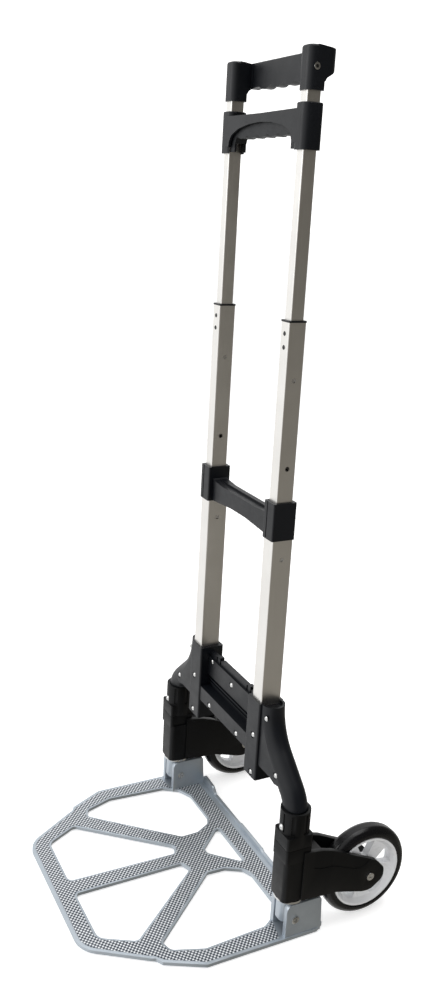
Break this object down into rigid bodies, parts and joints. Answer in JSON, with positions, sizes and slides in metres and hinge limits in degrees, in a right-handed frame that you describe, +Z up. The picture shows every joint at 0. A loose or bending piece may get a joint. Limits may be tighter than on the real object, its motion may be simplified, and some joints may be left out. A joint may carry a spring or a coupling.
{
  "type": "folding hand truck",
  "caption": "Folding hand truck with a hinged nose plate, swing-in wheel forks, twin telescoping tubes and an upper handle with a squeeze release.",
  "frame": {"origin": "centre of the whole truck's outline on the ground, under the nose plate and the tyres", "axes": "+Z up, -Y the side of the nose plate and the load, +Y the wheel side, +X the right-hand wheel"},
  "size_m": [0.405, 0.4424, 1.0912],
  "materials": {
    "tube_aluminium": "satin anodised",
    "black_plastic": "fine satin grain",
    "bearing_plastic": "smooth",
    "bright_steel": "bright",
    "dark_steel": "blackened",
    "spring_steel": "bright",
    "cast_alloy": "cast, with a raised diamond pattern on top of the plate",
    "tyre_rubber": "smooth, slightly glossy",
    "rim_plastic": "silver"
  },
  "bodies": {
    "frame": {"lower_tube_left": "tube_aluminium", "lower_tube_right": "tube_aluminium", "lower_tube_liners": "black_plastic", "cross_brace": "black_plastic", "frame_front_shell": "black_plastic", "frame_rear_shell": "black_plastic", "frame_rivets": "bright_steel", "leg_spindle_left": "spring_steel", "leg_spindle_right": "spring_steel", "foot_block_left": "cast_alloy", "foot_block_right": "cast_alloy", "thrust_rings": "bright_steel", "detent_collar_left": "black_plastic", "detent_collar_right": "black_plastic", "collar_rivets": "bright_steel", "detent_springs": "spring_steel"},
    "middle_stage": {"middle_tube_left": "tube_aluminium", "middle_tube_right": "tube_aluminium", "middle_tube_collars": "black_plastic", "collar_screws": "dark_steel", "middle_lock_plugs": "black_plastic", "middle_lock_springs": "spring_steel"},
    "middle_lock": {"middle_lock_pins": "bright_steel"},
    "upper_stage": {"upper_tube_left": "tube_aluminium", "upper_tube_right": "tube_aluminium", "upper_lock_plugs": "black_plastic", "upper_lock_springs": "spring_steel", "lower_handle": "black_plastic", "handle_body": "black_plastic", "handle_cover": "black_plastic", "handle_screws": "bright_steel", "grip_springs": "spring_steel"},
    "upper_lock": {"upper_lock_pins": "bright_steel"},
    "release": {"release_grip": "black_plastic", "release_rods": "bright_steel"},
    "plate": {"nose_plate": "cast_alloy", "hinge_pins": "bright_steel", "hinge_washers": "bearing_plastic"},
    "fork_right": {"wheel_fork_right": "black_plastic", "fork_bushing_right": "bearing_plastic", "axle_bolt_right": "bright_steel", "axle_nut_right": "bright_steel"},
    "fork_left": {"wheel_fork_left": "black_plastic", "fork_bushing_left": "bearing_plastic", "axle_bolt_left": "bright_steel", "axle_nut_left": "bright_steel"},
    "wheel_right": {"tyre_right": "tyre_rubber", "wheel_rim_right": "rim_plastic", "wheel_bearing_right": "bright_steel"},
    "wheel_left": {"tyre_left": "tyre_rubber", "wheel_rim_left": "rim_plastic", "wheel_bearing_left": "bright_steel"}
  },
  "joints": [
    {"name": "plate_fold", "type": "hinge", "parent": "frame", "child": "plate", "pos_m": [0, 0.0428, 0.031], "axis": [-1, 0, 0], "range_deg": [0, 90]},
    {"name": "right_wheel_swing", "type": "hinge", "parent": "frame", "child": "fork_right", "pos_m": [0.1793, 0.0428, 0.1], "axis": [0, 0, 1], "range_deg": [0, 90]},
    {"name": "left_wheel_swing", "type": "hinge", "parent": "frame", "child": "fork_left", "pos_m": [-0.1793, 0.0428, 0.1], "axis": [0, 0, -1], "range_deg": [0, 90]},
    {"name": "right_wheel_spin", "type": "hinge", "parent": "fork_right", "child": "wheel_right", "pos_m": [0.1793, 0.1562, 0.065], "axis": [1, 0, 0], "continuous": true},
    {"name": "left_wheel_spin", "type": "hinge", "parent": "fork_left", "child": "wheel_left", "pos_m": [-0.1793, 0.1562, 0.065], "axis": [1, 0, 0], "continuous": true},
    {"name": "middle_slide", "type": "slide", "parent": "frame", "child": "middle_stage", "axis": [0, 0, 1], "range_m": [-0.185, 0]},
    {"name": "middle_lock_slide", "type": "slide", "parent": "middle_stage", "child": "middle_lock", "axis": [1, 0, 0], "range_m": [-0.0015, 0], "stiffness_N_per_m": 600, "springref_m": 0.002},
    {"name": "upper_slide", "type": "slide", "parent": "middle_stage", "child": "upper_stage", "axis": [0, 0, 1], "range_m": [-0.185, 0]},
    {"name": "grip_squeeze", "type": "slide", "parent": "upper_stage", "child": "release", "axis": [0, 0, 1], "range_m": [0, 0.0045], "stiffness_N_per_m": 1500, "springref_m": -0.003, "deforming": ["grip_springs"]},
    {"name": "upper_lock_slide", "type": "slide", "parent": "upper_stage", "child": "upper_lock", "axis": [1, 0, 0], "range_m": [-0.0015, 0]}
  ],
  "couplings": [
    {"joint": "right_wheel_swing", "follows": "plate_fold", "ratio": 1},
    {"joint": "left_wheel_swing", "follows": "plate_fold", "ratio": 1},
    {"joint": "upper_lock_slide", "follows": "grip_squeeze", "ratio": -0.3333}
  ]
}
